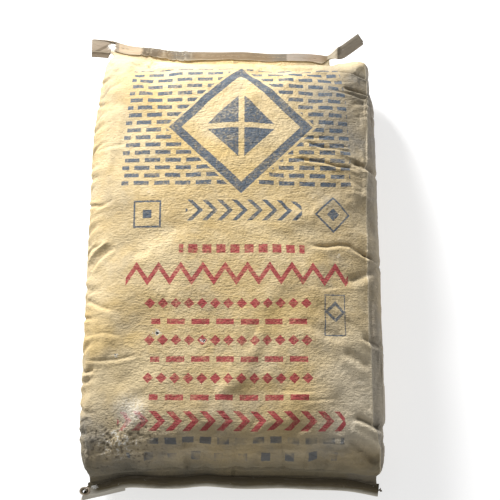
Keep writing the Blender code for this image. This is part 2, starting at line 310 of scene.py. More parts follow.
# Folds in the printed face: half width, depth and the line that each follows. A negative depth is a ridge.
FOLDS = (
    # the valve corner
    (0.0026, 0.0036, (0.150, 0.271), (0.174, 0.268), (0.189, 0.266), (0.205, 0.264)),
    (0.0021, 0.0040, (0.158, 0.240), (0.166, 0.237), (0.180, 0.235), (0.203, 0.234)),
    (0.0019, 0.0020, (0.138, 0.236), (0.150, 0.233), (0.168, 0.229), (0.185, 0.225), (0.202, 0.228)),
    (0.0022, 0.0010, (0.134, 0.251), (0.156, 0.249), (0.176, 0.250)),
    (0.0032, 0.0018, (0.168, 0.212), (0.182, 0.215), (0.202, 0.218)),
    (0.0024, 0.0010, (0.172, 0.192), (0.202, 0.196)),
    # the slanting creases below it
    (0.0020, 0.0016, (0.090, 0.156), (0.112, 0.154), (0.136, 0.156)),
    (0.0021, 0.0030, (0.100, 0.149), (0.111, 0.145), (0.125, 0.140), (0.142, 0.139), (0.170, 0.134)),
    (0.0018, 0.0016, (0.132, 0.146), (0.146, 0.143), (0.168, 0.141)),
    (0.0034, -0.0022, (0.142, 0.133), (0.160, 0.127), (0.183, 0.119), (0.192, 0.114)),
    (0.0050, 0.0046, (0.166, 0.121), (0.184, 0.114), (0.206, 0.108)),
    (0.0024, 0.0038, (0.082, 0.122), (0.099, 0.120), (0.125, 0.117), (0.146, 0.111), (0.166, 0.110),
     (0.182, 0.102)),
    (0.0040, 0.0014, (0.124, 0.104), (0.148, 0.096), (0.170, 0.088), (0.198, 0.074)),
    (0.0026, 0.0010, (0.150, 0.078), (0.176, 0.076), (0.198, 0.068)),
    # the gash at the middle of the right edge, and the fold that meets it
    (0.0030, 0.0038, (0.100, -0.004), (0.112, -0.006), (0.128, -0.007), (0.145, -0.004), (0.160, -0.005),
     (0.170, -0.012), (0.185, -0.019), (0.205, -0.022)),
    (0.0020, 0.0022, (0.176, -0.016), (0.190, -0.020), (0.206, -0.024)),
    (0.0058, 0.0036, (0.150, -0.056), (0.166, -0.052), (0.184, -0.044), (0.198, -0.032), (0.207, -0.022)),
    (0.0050, 0.0010, (0.116, -0.028), (0.142, -0.024), (0.168, -0.030)),
    (0.0026, 0.0010, (0.100, -0.062), (0.128, -0.066), (0.148, -0.062)),
    # the lower right
    (0.0075, 0.0030, (0.086, -0.108), (0.104, -0.116), (0.128, -0.127), (0.154, -0.136)),
    (0.0036, 0.0036, (0.172, -0.130), (0.190, -0.139), (0.206, -0.142)),
    (0.0060, 0.0032, (0.146, -0.150), (0.160, -0.157), (0.176, -0.166), (0.186, -0.172)),
    (0.0070, 0.0014, (0.160, -0.196), (0.174, -0.214), (0.180, -0.232)),
    (0.0038, 0.0048, (0.158, -0.236), (0.172, -0.241), (0.188, -0.247), (0.205, -0.252)),
    (0.0055, -0.0020, (0.150, -0.250), (0.170, -0.262), (0.190, -0.274), (0.202, -0.282)),
    (0.0055, 0.0034, (0.146, -0.266), (0.164, -0.276), (0.184, -0.290), (0.200, -0.298)),
    (0.0022, 0.0010, (0.060, -0.204), (0.094, -0.206), (0.112, -0.203)),
    (0.0022, 0.0008, (0.090, -0.218), (0.118, -0.216), (0.142, -0.212)),
    (0.0028, 0.0012, (0.060, -0.262), (0.086, -0.258), (0.100, -0.250)),
    # the left edge
    (0.0036, -0.0028, (-0.206, -0.030), (-0.194, -0.014), (-0.184, -0.006), (-0.170, 0.004)),
    (0.0032, 0.0020, (-0.200, -0.040), (-0.188, -0.024), (-0.176, -0.014), (-0.162, -0.006)),
    (0.0030, 0.0018, (-0.206, -0.074), (-0.180, -0.090), (-0.156, -0.098)),
    (0.0028, 0.0012, (-0.200, 0.050), (-0.165, 0.062)),
    (0.0030, 0.0010, (-0.204, 0.140), (-0.150, 0.146)),
    (0.0028, 0.0016, (-0.203, 0.230), (-0.188, 0.244), (-0.170, 0.250)),
    (0.0024, 0.0014, (-0.204, -0.160), (-0.178, -0.163), (-0.154, -0.162), (-0.124, -0.156)),
    (0.0026, 0.0010, (-0.204, -0.128), (-0.176, -0.126), (-0.150, -0.130)),
    (0.0026, 0.0022, (-0.204, -0.176), (-0.186, -0.174)),
    # short creases under the head tape
    (0.0024, 0.0028, (-0.126, 0.276), (-0.127, 0.290), (-0.124, 0.308)),
    (0.0036, 0.0012, (-0.160, 0.290), (-0.142, 0.284), (-0.128, 0.276)),
    (0.0040, 0.0010, (-0.060, 0.294), (-0.046, 0.284), (-0.034, 0.270)),
    (0.0060, 0.0022, (0.056, 0.298), (0.078, 0.288), (0.096, 0.274), (0.122, 0.268)),
    # soft slanting waves across the face
    (0.0140, 0.0022, (-0.190, -0.028), (-0.130, 0.000), (-0.050, 0.032)),
    (0.0120, -0.0014, (-0.170, -0.120), (-0.125, -0.090), (-0.080, -0.070)),
    (0.0080, 0.0020, (-0.140, -0.018), (-0.112, -0.014)),
    (0.0070, 0.0018, (0.018, -0.156), (0.026, -0.132), (0.036, -0.110)),
    (0.0130, 0.0014, (0.000, -0.215), (0.060, -0.202), (0.120, -0.180)),
    (0.0110, 0.0018, (-0.150, -0.180), (-0.131, -0.208), (-0.106, -0.218)),
    # creases that run up from the foot's seam
    (0.0026, 0.0016, (-0.060, -0.306), (-0.063, -0.284), (-0.064, -0.262)),
    (0.0026, 0.0014, (0.005, -0.306), (0.003, -0.286), (0.004, -0.268)),
    (0.0022, 0.0014, (0.034, -0.306), (0.036, -0.290)),
    (0.0024, 0.0018, (0.068, -0.306), (0.068, -0.290), (0.064, -0.270)),
    (0.0026, 0.0014, (0.092, -0.308), (0.100, -0.274)),
    (0.0024, 0.0012, (0.120, -0.306), (0.126, -0.286)),
    (0.0026, 0.0014, (-0.112, -0.308), (-0.116, -0.270)),
)
FINE_WIDTH = 0.0045  # narrower folds are sharp at their bottom, and their faces are made finer
FINE_REACH = 0.0075

# The pressed line where the side panel of the sleeve begins, across at each place along
GUSSET_Y = (-0.310, -0.280, -0.239, -0.160, -0.122, 0.064, 0.190, 0.262)
GUSSET_X = (0.200, 0.196, 0.185, 0.1855, 0.183, 0.186, 0.192, 0.196)

# Where the pinches along the two long edges lie
LEFT_PINCHES = (0.262, 0.236, 0.220, 0.196, 0.178, 0.162, 0.140, 0.121, 0.104, 0.083, 0.064, 0.041, 0.022,
                0.006, -0.009, -0.042, -0.058, -0.074, -0.100, -0.122, -0.146, -0.172, -0.188, -0.204,
                -0.226, -0.242, -0.256, -0.275)
RIGHT_PINCHES = (0.206, 0.158, 0.108, 0.048, -0.022, -0.078, -0.141, -0.188, -0.250)
PINCH_WIDTH = 0.0036

# Long soft folds down the right side: place along the bag, lean, half width and depth
SIDE_FOLDS = (
    (-0.252, 0.30, 0.0065, 0.0015), (-0.205, -0.25, 0.0050, 0.0011), (-0.168, 0.10, 0.0075, 0.0016),
    (-0.118, -0.40, 0.0055, 0.0012), (-0.072, 0.22, 0.0085, 0.0015), (-0.030, -0.15, 0.0050, 0.0010),
    (0.018, 0.35, 0.0070, 0.0016), (0.062, -0.30, 0.0060, 0.0012), (0.103, 0.12, 0.0080, 0.0014),
    (0.152, -0.20, 0.0055, 0.0013), (0.196, 0.28, 0.0070, 0.0015), (0.246, -0.35, 0.0060, 0.0013))
SIDE_CREASE_Z = 0.064  # the pressed crease down the middle of each side
CRUMPLED_X, CRUMPLED_Y = -0.150, -0.268  # the middle of the crumpled corner
LEAST_Z = 0.0002  # the sack's underside stays this far above the floor


def measure_fold(points, line):
    """How far each point lies across a fold's line, positive towards the head, and its share along."""
    corners = np.array(line)
    runs = np.diff(corners, axis=0)
    lengths = np.linalg.norm(runs, axis=1)
    marks = np.concatenate([[0.0], np.cumsum(lengths)])
    across = np.full(len(points), np.inf)
    along = np.zeros(len(points))
    for start, run, length, mark in zip(corners, runs, lengths, marks):
        away = points[:, :2] - start
        share = np.clip(away @ run / length ** 2, 0.0, 1.0)
        off = away - share[:, None] * run
        side = np.array([-run[1], run[0]])
        if side[1] < 0:
            side = -side
        far = np.linalg.norm(off, axis=1)
        nearer = far < np.abs(across)
        across = np.where(nearer, far * np.where(off @ side < 0, -1.0, 1.0), across)
        along = np.where(nearer, (mark + share * length) / marks[-1], along)
    return across, along


def fine_mesh(mesh):
    """Halve the faces along the sharp creases, at the crumpled corner and down the long edges."""
    middles = read_rows(mesh.polygons, "center")
    x, y, z = middles.T
    near = (np.abs(x - np.interp(y, GUSSET_Y, GUSSET_X)) < 0.0045) | (x < -0.1935)
    near |= ((x - CRUMPLED_X) / 0.065) ** 2 + ((y - CRUMPLED_Y) / 0.050) ** 2 < 1.0
    for width, _, *line in FOLDS:
        if width < FINE_WIDTH:
            near |= np.abs(measure_fold(middles, line)[0]) < FINE_REACH
    near &= (read_rows(mesh.polygons, "normal")[:, 2] > -0.1) & (z > 0.055)
    bpy.ops.object.mode_set(mode="EDIT")
    bpy.ops.mesh.select_mode(type="FACE")
    bpy.ops.mesh.select_all(action="DESELECT")
    bpy.ops.object.mode_set(mode="OBJECT")
    mesh.polygons.foreach_set("select", near)
    bpy.ops.object.mode_set(mode="EDIT")
    bpy.ops.mesh.subdivide(number_cuts=1, ngon=False)
    bpy.ops.object.mode_set(mode="OBJECT")


def keep_values(mesh, name, values):
    layer = mesh.attributes.new(name=name, type="FLOAT", domain="POINT")
    layer.data.foreach_set("value", values.astype(np.float32))


def pleat(away, wide, lip_at, lip_wide):
    """A pressed line's valley, and the lips that rise at both sides of it."""
    return bell(away, wide), bell(np.abs(away) - lip_at * wide, lip_wide * wide)


def press_folds(mesh):
    points = places(mesh)
    out = read_rows(mesh.vertices, "normal")
    x, y, z = points.T
    head, foot = seam_share(points)
    free = 1.0 - np.maximum(head, foot)
    face = smooth(0.10, 0.50, out[:, 2])
    lift = np.zeros(len(points))
    shade_and_grime = np.zeros(len(points))
    for width, depth, *line in FOLDS:
        across, along = measure_fold(points, line)
        taper = face * smooth(0.0, 0.20, along) * smooth(1.0, 0.80, along)
        valley = np.exp(-(np.abs(across) / width) ** (1.4 if width < FINE_WIDTH else 2.0))
        lip = bell(across + 1.9 * width, 1.2 * width)
        lift += depth * taper * (0.45 * lip - valley)
        # darker along each valley and paler on its lip: painted shade in the fold, with dirt
        shade_and_grime += max(depth, 0.0) / (0.0035 + width) * taper * (valley ** 1.5 - 0.4 * lip)

    # the side panel falls away behind its pressed line
    beyond = x - np.interp(y, GUSSET_Y, GUSSET_X)
    upper = smooth(0.055, 0.085, z)
    lift += upper * (0.0005 * bell(beyond, 0.0016) - 0.0008 * smooth(0.0005, 0.0060, beyond))

    # the pinches along both long sides
    reach = smooth(0.012, 0.045, z)
    for pinches, sign, inner, deep in ((LEFT_PINCHES, -1.0, 0.172, 0.0011),
                                       (RIGHT_PINCHES, 1.0, 0.178, 0.0010)):
        edge = reach * smooth(inner, 0.203, np.abs(x)) * (np.sign(x) == sign)
        for number, place in enumerate(pinches):
            slant = 0.35 * math.sin(number * 2.3)
            wide = PINCH_WIDTH * (1.0 + 0.35 * math.sin(number * 1.7))
            sunk = deep * (1.0 + 0.55 * math.cos(number * 3.1))
            away = y - place - slant * (z - 0.09)
            valley, lip = pleat(away, wide, 2.0, 1.1)
            lift += sunk * (0.5 * lip - valley) * edge
            # painted shade and dirt in the pinches of the left side
            shade_and_grime += 0.30 * valley * edge * (sign < 0)

    # the long folds and the pressed crease of the sides
    side = smooth(0.192, 0.2025, np.abs(x)) * smooth(0.004, 0.020, z) * smooth(0.108, 0.080, z)
    lower = side * smooth(0.068, 0.046, z) * (x > 0)
    for place, lean, wide, deep in SIDE_FOLDS:
        away = y - place - lean * (z - 0.06) - 0.0015 * np.sin(z * 120.0 + place * 90.0)
        valley, lip = pleat(away, wide, 2.1, 1.2)
        lift += deep * (0.55 * lip - valley) * lower
        # painted shade and dirt in the side folds
        shade_and_grime += 0.34 * valley * lower
    off = z - SIDE_CREASE_Z - 0.0030 * np.sin(y * 19.0) - 0.0012 * np.sin(y * 67.0)
    worn = 0.55 + 0.45 * np.sin(y * 31.0 + 1.0)
    lift -= 0.0009 * worn * bell(off, 0.0030) * side
    shade_and_grime += 0.25 * worn * bell(off, 0.0016) * side

    # crumpled paper: fine ridges, strongest at the foot's left and along the right side
    corner = np.exp(-((x - CRUMPLED_X) / 0.050) ** 2 - ((y - CRUMPLED_Y) / 0.032) ** 2)
    crumple = 0.35 + 0.4 * corner + 0.45 * smooth(0.08, 0.19, x) + 0.35 * smooth(-0.16, -0.25, y)
    sharp = 1.0 - 2.0 * np.abs(noise_at(points, (70.0, 105.0, 90.0), 7.7, 2))
    curls = np.zeros(len(points))
    there = corner > 0.02
    curls[there] = 1.0 - 3.2 * np.abs(noise_at(points[there], (170.0, 150.0, 150.0), 2.2, 2))
    wide = noise_at(points, (26.0, 40.0, 34.0), 1.3)
    lift += free * (0.00034 * crumple * sharp + 0.0007 * wide + 0.0006 * corner * curls)
    points += out * (lift * free)[:, None]

    points[:, 0] += 0.007 * smooth(0.16, 0.27, y) * smooth(-0.12, -0.19, x) * (1.0 - head)
    x, y, z = points.T
    over = smooth(-0.285, -0.300, y) * smooth(FOOT_SEAM_Z + 0.004, FOOT_SEAM_Z + 0.016, z)
    points[:, 1] += drawn_foot(x) * foot - 0.0030 * over * (1.0 - foot)
    head_share = smooth(0.20, 0.31, y) * smooth(0.16, 0.13, x)
    foot_share = smooth(-0.20, -0.30, y)
    points[:, 2] += head_wave(x) * head_share + foot_wave(x) * foot_share
    points[:, 2] = np.maximum(points[:, 2], LEAST_Z)
    put_places(mesh, points)
    # a painted shadow line on the bag where the foot's tape meets it, kept with the crease shade
    contact_shadow = 0.85 * bell(y - sewn_foot_y(x) - 0.0164, 0.0017) * (z > FOOT_SEAM_Z - 0.010)
    keep_values(mesh, "shade_and_grime", np.clip(shade_and_grime * free + contact_shadow, 0.0, 1.0))
    keep_values(mesh, "curls", curls * corner)
    keep_values(mesh, "beyond", np.where(z > 0.05, beyond, 0.02))


def head_fold_line():
    """The head tape's fold in plan: along the sewn end, then up its turned tail."""
    xs = np.linspace(HEAD_TAPE_LEFT, HEAD_TAPE_TURN, 200)
    crumpled = smooth(-0.148, -0.136, xs) * smooth(-0.062, -0.078, xs)
    crinkles = 0.0012 * np.sin(xs * 470.0) + 0.0009 * np.sin(xs * 790.0)
    waves = 0.0005 * np.sin(xs * 83.0) + crumpled * crinkles
    line = list(np.stack([xs, head_edge_y(xs) - TAPE_WALL / 2 + waves], axis=1))
    for step in range(1, 9):
        angle = TAIL_ANGLE * step / 8
        line.append(line[-1] + np.array([math.cos(angle), math.sin(angle)]) * TAIL_BEND / 8)
    line.append(line[-1] + np.array([math.cos(TAIL_ANGLE), math.sin(TAIL_ANGLE)]) * TAIL_LENGTH)
    return np.array(line)


def foot_fold_line():
    """The foot tape's fold in plan, from right to left, so that the bag lies on the line's right too."""
    xs = np.linspace(FOOT_TAPE_RIGHT, FOOT_TAPE_LEFT, 140)
    return np.array([[x, sewn_foot_y(x) + TAPE_WALL / 2 - 0.0005 * math.sin(x * 71.0)] for x in xs])


def follow(line, distance):
    """The points of a line at the given distances along it, and the directions to its right there."""
    steps = np.linalg.norm(np.diff(line, axis=0), axis=1)
    marks = np.concatenate([[0.0], np.cumsum(steps)])

    def at(mark):
        return np.stack([np.interp(mark, marks, line[:, axis]) for axis in (0, 1)], axis=1)

    reach = 0.004
    heading = at(distance + reach) - at(distance - reach)
    heading /= np.linalg.norm(heading, axis=1)[:, None]
    return at(distance), np.stack([heading[:, 1], -heading[:, 0]], axis=1), marks[-1]


def new_grid(name, columns, rows):
    """A flat grid to carry into place, with the shares from 0 to 1 along it and from -1 to 1 across."""
    bpy.ops.object.select_all(action="DESELECT")
    bpy.ops.mesh.primitive_grid_add(x_subdivisions=columns, y_subdivisions=rows, size=2.0)
    grid = bpy.context.object
    grid.name = name
    x, y, _ = places(grid.data).T
    return grid, (x + 1.0) / 2, y


def give_wall(strip, thickness):
    wall = strip.modifiers.new("wall", "SOLIDIFY")
    wall.thickness = thickness
    wall.offset = 0.0
    bpy.ops.object.modifier_apply(modifier="wall")
    edit_all(bpy.ops.mesh.normals_make_consistent, inside=False)
    bpy.ops.object.shade_smooth_by_angle(angle=math.radians(55))
    return strip


def lay_strip(name, line, start, end, depth, height):
    """A strip folded in half along a line: a flat grid, carried round the fold and given its wall.

    start and end give how far along the line the strip begins and ends, depth how wide a flap is, and
    height how high its middle lies, each for points across the strip from -1, the back flap's free edge,
    through the fold at 0, to the front flap's free edge at 1.
    """
    length = follow(line, np.array([0.0]))[2]
    strip, share, across = new_grid(name, round(length / TAPE_STEP), 26)
    along = start(across) + share * (length - end(across) - start(across))
    spots, inward, _ = follow(line, along)
    ahead = np.abs(across)
    arc = ahead * depth(spots[:, 0], across)
    bend = np.minimum(arc / TAPE_MIDDLE, math.pi / 2)
    straight = arc - bend * TAPE_MIDDLE
    reach = TAPE_MIDDLE * (1.0 - np.cos(bend)) + straight
    rise = TAPE_MIDDLE * np.sin(bend) * np.sign(across)
    laid = np.empty((len(share), 3))
    laid[:, :2] = spots + inward * reach[:, None]
    laid[:, 2] = rise
    off = arc * np.sign(across)
    flat = np.stack([along, off, 0.0 * arc], axis=1)
    ripple = noise_at(flat, (60.0, 35.0, 1.0), 4.2)
    fine = noise_at(flat, (230.0, 90.0, 1.0), 8.8)
    crumpled = 1.0 + 2.4 * smooth(-0.150, -0.136, spots[:, 0]) * smooth(-0.060, -0.076, spots[:, 0])
    lift = (0.00055 * np.maximum(ripple + 0.2, 0.0) * crumpled + 0.00016 * fine) * smooth(0.0, 0.006, reach)
    laid[:, 2] += lift * np.sign(across)
    height(laid, along, reach, length)
    put_places(strip.data, laid)
    lay_map(strip.data, "strip", along, off)
    return give_wall(strip, TAPE_WALL)


def on_left_tail(x):
    return smooth(-0.182, -0.192, x)


def make_head_tape():
    """The head's tape: its front flap is cut short at the left, and its tail turns up at the right."""
    line = head_fold_line()

    def start(across):
        ragged = 0.0012 * np.sin(across * 40.0)
        return np.interp(across, (-1.0, 0.06, 0.20, 0.60, 1.0), (0.0, 0.0, 0.037, 0.042, 0.040)) + ragged

    def end(across):
        return 0.0012 * (1.0 + across) * (across > 0)

    def gathered(x):
        return bell(x - PINCH_X, 0.0075) * smooth(0.120, 0.138, x)

    def depth(x, across):
        front = np.interp(x, (-0.222, -0.180, -0.130, -0.054, 0.008, 0.085, 0.120, 0.160, 0.180),
                          (0.0205, 0.0165, 0.0145, 0.0160, 0.0145, 0.0150, 0.0140, 0.0205, 0.0200))
        front = front + 0.0007 * np.sin(x * 61.0) + 0.0004 * np.sin(x * 149.0)
        back = TAPE_DEPTH + 0.0006 * np.sin(x * 53.0) - 0.0020 * smooth(0.140, 0.160, x)
        back = back + 0.0120 * on_left_tail(x)
        return np.where(across > 0, front, back) * (1.0 - 0.60 * gathered(x))

    def height(laid, along, reach, length):
        x = laid[:, 0]
        tail = smooth(PINCH_X, PINCH_X + 0.012, x)
        left = on_left_tail(x)
        level = laid[:, 2] * (1.0 - 0.62 * tail) * (1.0 - 0.85 * left)
        laid[:, 2] = HEAD_SEAM_Z + level + (0.0085 - reach) * 0.16 * tail
        laid[:, 2] += head_wave(x) * (1.0 - tail) + head_wave(HEAD_TAPE_TURN) * tail
        laid[:, 2] += 0.009 * smooth(length - 0.050, length + 0.020, along)
        # the facet between the pinch and the flat tail, and the fold across the left tail
        laid[:, 2] += 0.0026 * bell(x - 0.158 + 0.25 * reach, 0.0035) * (1.0 - reach / 0.03)
        laid[:, 2] -= 0.0014 * left * smooth(0.0210, 0.0230, reach)
        # the sewn stretch is drawn down into the pinch
        laid[:, 1] -= 0.0030 * gathered(x)

    return lay_strip("head_binding", line, start, end, depth, height)


def make_foot_tape():
    """The foot's tape, square at the right; its left end narrows, curls up and leaves a short stub."""
    line = foot_fold_line()

    def start(across):
        return 0.0010 * (1.0 + across)

    def end(across):
        return np.interp(across, (-1.0, 0.0, 1.0), (0.006, 0.000, 0.012)) + 0.0010 * np.sin(across * 30.0)

    def depth(x, across):
        front = np.interp(x, (-0.204, -0.180, -0.155, -0.120, 0.040, 0.120, 0.199),
                          (0.0125, 0.0130, 0.0150, 0.0150, 0.0152, 0.0145, 0.0140))
        front = front + 0.0006 + 0.0005 * np.sin(x * 47.0 + 1.0) + 0.0004 * np.sin(x * 131.0)
        return np.where(across > 0, front, TAPE_DEPTH + 0.0005 * np.sin(x * 59.0))

    def height(laid, along, reach, length):
        laid[:, 2] += FOOT_SEAM_Z + foot_wave(laid[:, 0]) - FOOT_HANG * (ROOT_INSET - reach)
        laid[:, 2] += 0.0020 * smooth(length - 0.030, length, along) * np.sin(reach * 260.0)

    tape = lay_strip("foot_binding", line, start, end, depth, height)
    bits = [curl_tape_end(), lay_stub()]
    make_active(tape)
    for bit in bits:
        bit.select_set(True)
    bpy.ops.object.join()
    return tape


def thin_bit(name, columns, place, map_row, thick):
    """A small piece of tape: a grid whose points place() carries, from shares along and across."""
    bit, along, across = new_grid(name, columns, 6)
    put_places(bit.data, place(along, across))
    lay_map(bit.data, "strip", 0.04 * along, map_row + 0.004 * across)
    return give_wall(bit, thick)


def curl_tape_end():
    """The rolled-up end at the left of the foot's tape."""
    def place(along, across):
        turn = -0.4 - along * 12.5
        grow = np.interp(along, (0.0, 0.45, 1.0), (1.0, 0.92, 0.40))
        x = CURL_X + 0.0068 * grow * np.cos(turn)
        y = CURL_Y + 0.0050 * grow * np.sin(turn)
        return np.stack([x, y, 0.0400 + 0.0036 * across + 0.0012 * np.cos(turn)], axis=1)
    return thin_bit("curl", 90, place, CURL_ROW, CURL_WALL)


def lay_stub():
    """The pale stub of tape that points out past the left corner."""
    def place(along, across):
        x = -0.148 - 0.059 * along + 0.0030 * across * along
        y = -0.3235 - 0.0130 * along + (0.0050 + 0.0010 * along) * across
        y += 0.0025 * along * (across > 0) * across
        z = 0.0365 - 0.0010 * along + 0.0012 * np.sin(along * 3.0) * across
        return np.stack([x, y, z], axis=1)
    return thin_bit("stub", 40, place, STUB_ROW, TAPE_WALL)


def stitch_path(line, left, right, seam_z, wave, slope):
    """The thread's path: single stitches along the front, chained loops along the back."""
    count = round((right - left) / STITCH)
    steps = np.arange(count * STITCH_PARTS + 1) / STITCH_PARTS
    xs = left + steps * STITCH
    edge = line(xs)
    inward = -1.0 if edge[0] > 0 else 1.0
    middle = seam_z + wave(xs) - slope * (ROOT_INSET - THREAD_INSET)
    down = 0.5 + 0.5 * np.cos(2 * math.pi * steps)
    front_z = middle + TAPE_MIDDLE + 0.0003 - 0.0006 * down ** 4
    front_y = edge + inward * (THREAD_INSET + 0.0004 * np.sin(steps * 1.9))
    front = np.stack([xs, front_y, front_z], axis=1)
    loop = xs - 0.30 * STITCH * np.sin(2 * math.pi * steps)
    back_y = edge + inward * THREAD_INSET + 0.0011 * np.cos(2 * math.pi * steps)
    back_z = middle - TAPE_MIDDLE - 0.0011 - 0.0004 * np.sin(2 * math.pi * steps)
    back = np.stack([loop, back_y, back_z], axis=1)
    return front, back[::-1]


def make_thread(name, runs):
    """Thread drawn along each run of points, as one piece."""
    curve = bpy.data.curves.new(name, "CURVE")
    curve.dimensions = "3D"
    curve.bevel_depth = THREAD_RADIUS
    curve.bevel_resolution = 1
    curve.use_fill_caps = True
    for run in runs:
        spline = curve.splines.new("POLY")
        spline.points.add(len(run) - 1)
        for knot, point in zip(spline.points, run):
            knot.co = (*point, 1.0)
    thread = add_object(name, curve)
    make_active(thread)
    bpy.ops.object.convert(target="MESH")
    thread = bpy.context.object
    bpy.ops.object.shade_smooth()
    return thread


def make_head_stitching():
    front, back = stitch_path(head_edge_y, -0.186, HEAD_TAPE_TURN - 0.004, HEAD_SEAM_Z, head_wave, 0.0)
    return make_thread("head_seam_thread", [np.concatenate([front, back])])


def make_foot_stitching():
    right = FOOT_TAPE_RIGHT + 0.0016
    front, back = stitch_path(sewn_foot_y, -0.190, right, FOOT_SEAM_Z, foot_wave, FOOT_HANG)
    runs = [np.concatenate([front, back])]
    # the frayed end that sticks out of the right end of the tape
    root = front[-1]
    for number in range(FRAYS):
        turn = -0.9 + 0.36 * number
        tip = np.array([math.cos(turn), math.sin(turn), 0.25 * math.sin(number * 2.0)])
        length = 0.0030 + 0.0012 * math.sin(number * 1.3)
        steps = np.linspace(0.0, 1.0, 5)[:, None]
        runs.append(root + tip * length * steps + np.array([0.0, 0.0, -0.001]) * steps ** 2)
    return make_thread("foot_seam_thread", runs)


class Shading:
    """A material's node tree: the methods add nodes to it and give back their outputs."""

    def __init__(self, name):
        self.material = bpy.data.materials.new(name)
        self.material.use_nodes = True
        self.tree = self.material.node_tree
        self.shader = self.tree.nodes["Principled BSDF"]
        self.colour = None

    def put(self, socket, value):
        if isinstance(value, bpy.types.NodeSocket):
            self.tree.links.new(value, socket)
        else:
            socket.default_value = value

    def node(self, kind, inputs=(), **settings):
        made = self.tree.nodes.new(kind)
        for name, value in settings.items():
            setattr(made, name, value)
        for key, value in dict(inputs).items():
            self.put(made.inputs[key], value)
        return made

    def math(self, operation, *values):
        return self.node("ShaderNodeMath", dict(enumerate(values)), operation=operation).outputs[0]

    def chain(self, operation, values):
        return reduce(lambda a, b: self.math(operation, a, b), values)

    def add(self, *values):
        return self.chain("ADD", values)

    def less(self, a, b):
        return self.math("SUBTRACT", a, b)

    def times(self, *values):
        return self.chain("MULTIPLY", values)

    def most(self, *values):
        return self.chain("MAXIMUM", values)

    def least(self, *values):
        return self.chain("MINIMUM", values)

    def ease(self, value, low, high, start=0.0, end=1.0):
        inputs = {0: value, 1: low, 2: high, 3: start, 4: end}
        return self.node("ShaderNodeMapRange", inputs, interpolation_type="SMOOTHSTEP").outputs[0]

    def mix(self, share, first, second):
        made = self.tree.nodes.new("ShaderNodeMix")
        made.data_type = "RGBA"
        for number, value in ((0, share), (6, first), (7, second)):
            self.put(made.inputs[number], value)
        return made.outputs[2]

    def paint(self, share, tone):
        """Lay a tone over the colour so far."""
        self.colour = self.mix(share, self.colour, tone)

    def scaled(self, vector, scale):
        return self.node("ShaderNodeMapping", {"Vector": vector, "Scale": scale}).outputs[0]

    def split(self, vector):
        return tuple(self.node("ShaderNodeSeparateXYZ", {0: vector}).outputs)

    def distance(self, vector, place):
        return self.node("ShaderNodeVectorMath", {0: vector, 1: place}, operation="DISTANCE").outputs[1]

    def attribute(self, name):
        return self.node("ShaderNodeAttribute", attribute_name=name).outputs["Fac"]

    def noise(self, vector, scale, detail=2.0, roughness=0.5):
        """Noise with this many lumps for each metre, one number or three."""
        if isinstance(scale, tuple):
            vector, scale = self.scaled(vector, scale), 1.0
        inputs = {"Vector": vector, "Scale": scale, "Detail": detail, "Roughness": roughness}
        return self.node("ShaderNodeTexNoise", inputs).outputs[0]

    def stray(self, value, noise, reach):
        """The value, moved up and down by the noise."""
        return self.add(value, self.times(self.less(noise, 0.5), reach))

    def bump(self, height, strength, distance):
        inputs = {"Height": height, "Strength": strength, "Distance": distance}
        return self.node("ShaderNodeBump", inputs).outputs[0]

    def surface(self, **inputs):
        """Set the shader's inputs, such as Base_Color, and give back the material."""
        for name, value in inputs.items():
            self.put(self.shader.inputs[name.replace("_", " ")], value)
        return self.material


class Ink:
    """Plain shapes of the print as distances, in metres: below zero is inside the shape.

    both() keeps what lies in all of the shapes, and any() what lies in one of them.
    """

    def __init__(self, shading, u, v):
        self.s, self.u, self.v = shading, u, v
        self.both, self.any = shading.most, shading.least

    def off(self, value, middle):
        return self.s.math("ABSOLUTE", self.s.less(value, middle))

    def box(self, left, right, bottom, top):
        wide = self.s.less(self.off(self.u, (left + right) / 2), (right - left) / 2)
        tall = self.s.less(self.off(self.v, (bottom + top) / 2), (top - bottom) / 2)
        return self.both(wide, tall)

    def diamond(self, x, y, reach):
        total = self.s.add(self.off(self.u, x), self.off(self.v, y))
        return self.s.times(self.s.less(total, reach), 0.7071)

    def outline(self, distance, width):
        return self.s.less(self.s.math("ABSOLUTE", distance), width / 2)

    def without(self, distance, cut):
        return self.both(distance, self.s.times(cut, -1.0))

    def repeat(self, value, pitch, start=0.0):
        """The distance from value to the nearest of the evenly spaced lines."""
        return self.s.math("PINGPONG", self.s.less(value, start), pitch / 2)

    def dashes(self, bottom, top, left, right, pitch, length):
        bar = self.s.less(self.repeat(self.u, pitch, left), length / 2)
        return self.both(bar, self.box(left, right, bottom, top))

    def beads(self, bottom, top, left, right, pitch):
        """A row of small diamonds."""
        middle = (bottom + top) / 2
        total = self.s.add(self.repeat(self.u, pitch, left), self.off(self.v, middle))
        bead = self.s.times(self.s.less(total, (top - bottom) / 2), 0.7071)
        return self.both(bead, self.box(left - pitch / 2, right, bottom, top))

    def chevrons(self, bottom, top, left, right, pitch, width):
        slide = self.s.add(self.u, self.off(self.v, (bottom + top) / 2))
        stripe = self.s.less(self.repeat(slide, pitch, left), width / 2)
        return self.both(stripe, self.box(left, right, bottom, top))

    def zigzag(self, middle, rise, left, right, pitch, width):
        wave = self.s.less(self.s.times(self.repeat(self.u, pitch, left), 4.0 * rise / pitch), rise)
        line = self.s.less(self.off(self.s.less(self.v, wave), middle), width / 2)
        return self.both(line, self.box(left, right, middle - rise - width, middle + rise + width))

    def bricks(self, bottom, top, left, right, course, pitch, height, length):
        """Courses of bricks in running bond, drawn as short bars."""
        row = self.s.math("FLOOR", self.s.math("DIVIDE", self.s.less(self.v, bottom), course))
        shift = self.s.times(self.s.math("MODULO", row, 2.0), pitch / 2)
        bar = self.s.less(self.repeat(self.s.add(self.u, shift), pitch, left), length / 2)
        bed = self.s.less(self.repeat(self.v, course, bottom + course / 2), height / 2)
        return self.both(bar, bed, self.box(left, right, bottom, top))


